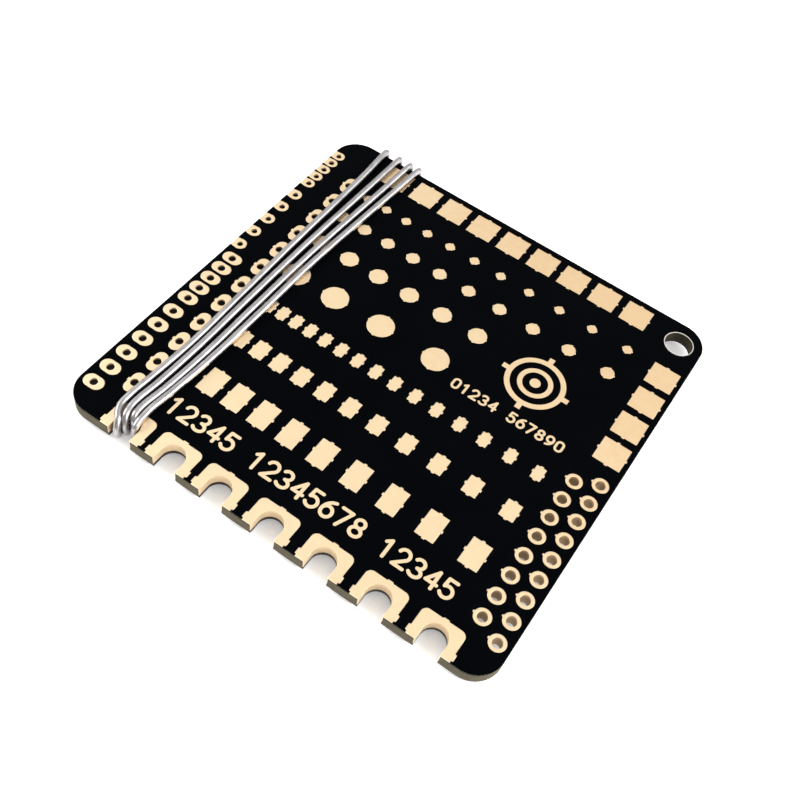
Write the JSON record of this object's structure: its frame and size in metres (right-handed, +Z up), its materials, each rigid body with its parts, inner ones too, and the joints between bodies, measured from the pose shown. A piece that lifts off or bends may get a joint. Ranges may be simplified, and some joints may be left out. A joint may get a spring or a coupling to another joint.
{
  "type": "soldering practice board",
  "caption": "Square black soldering practice board with bare gold pads, plated eyelets, plated edge notches and solder wire wound round it.",
  "frame": {"origin": "middle of the object's footprint, at the height of the surface that the wound board lies on", "axes": "+Z up out of the pad side, +X to the right along the notched front edge, +Y towards the back edge with the large square pads"},
  "size_m": [0.0492, 0.05, 0.0032],
  "materials": {
    "fr4_laminate": "cut edge of layered glass-epoxy laminate, olive brown, matt",
    "solder_mask": "black solder mask, satin",
    "gold_plating": "pale immersion gold over copper, fine satin grain",
    "solder_wire": "drawn tin solder, bright with fine lengthwise lines"
  },
  "bodies": {
    "root": {"fr4_core": "fr4_laminate", "solder_mask_top": "solder_mask", "solder_mask_bottom": "solder_mask", "solder_wire": "solder_wire", "square_pads_back": "gold_plating", "square_pads_right": "gold_plating", "round_pads_small": "gold_plating", "round_pads_medium": "gold_plating", "round_pads_large": "gold_plating", "round_pads_largest": "gold_plating", "chip_pads_small": "gold_plating", "chip_pads_medium": "gold_plating", "chip_pads_large": "gold_plating", "inner_oval_eyelets": "gold_plating", "header_outer_eyelet_1": "gold_plating", "header_outer_eyelet_2": "gold_plating", "header_outer_eyelet_3": "gold_plating", "header_outer_eyelet_4": "gold_plating", "header_outer_eyelet_5": "gold_plating", "header_outer_eyelet_6": "gold_plating", "header_outer_eyelet_7": "gold_plating", "header_outer_eyelet_8": "gold_plating", "header_outer_eyelet_9": "gold_plating", "header_inner_eyelet_1": "gold_plating", "header_inner_eyelet_2": "gold_plating", "header_inner_eyelet_3": "gold_plating", "header_inner_eyelet_4": "gold_plating", "header_inner_eyelet_5": "gold_plating", "header_inner_eyelet_6": "gold_plating", "header_inner_eyelet_7": "gold_plating", "header_inner_eyelet_8": "gold_plating", "edge_eyelet_1": "gold_plating", "edge_eyelet_2": "gold_plating", "edge_eyelet_3": "gold_plating", "edge_eyelet_4": "gold_plating", "edge_eyelet_5": "gold_plating", "edge_eyelet_6": "gold_plating", "edge_eyelet_7": "gold_plating", "edge_eyelet_8": "gold_plating", "edge_eyelet_9": "gold_plating", "edge_eyelet_10": "gold_plating", "oval_eyelet_1": "gold_plating", "oval_eyelet_2": "gold_plating", "oval_eyelet_3": "gold_plating", "oval_eyelet_4": "gold_plating", "oval_eyelet_5": "gold_plating", "oval_eyelet_6": "gold_plating", "oval_eyelet_7": "gold_plating", "oval_eyelet_8": "gold_plating", "oval_eyelet_9": "gold_plating", "oval_eyelet_10": "gold_plating", "oval_eyelet_11": "gold_plating", "plated_notch_1": "gold_plating", "plated_notch_2": "gold_plating", "plated_notch_3": "gold_plating", "plated_notch_4": "gold_plating", "plated_notch_5": "gold_plating", "plated_notch_6": "gold_plating", "plated_notch_7": "gold_plating"}
  },
  "joints": []
}
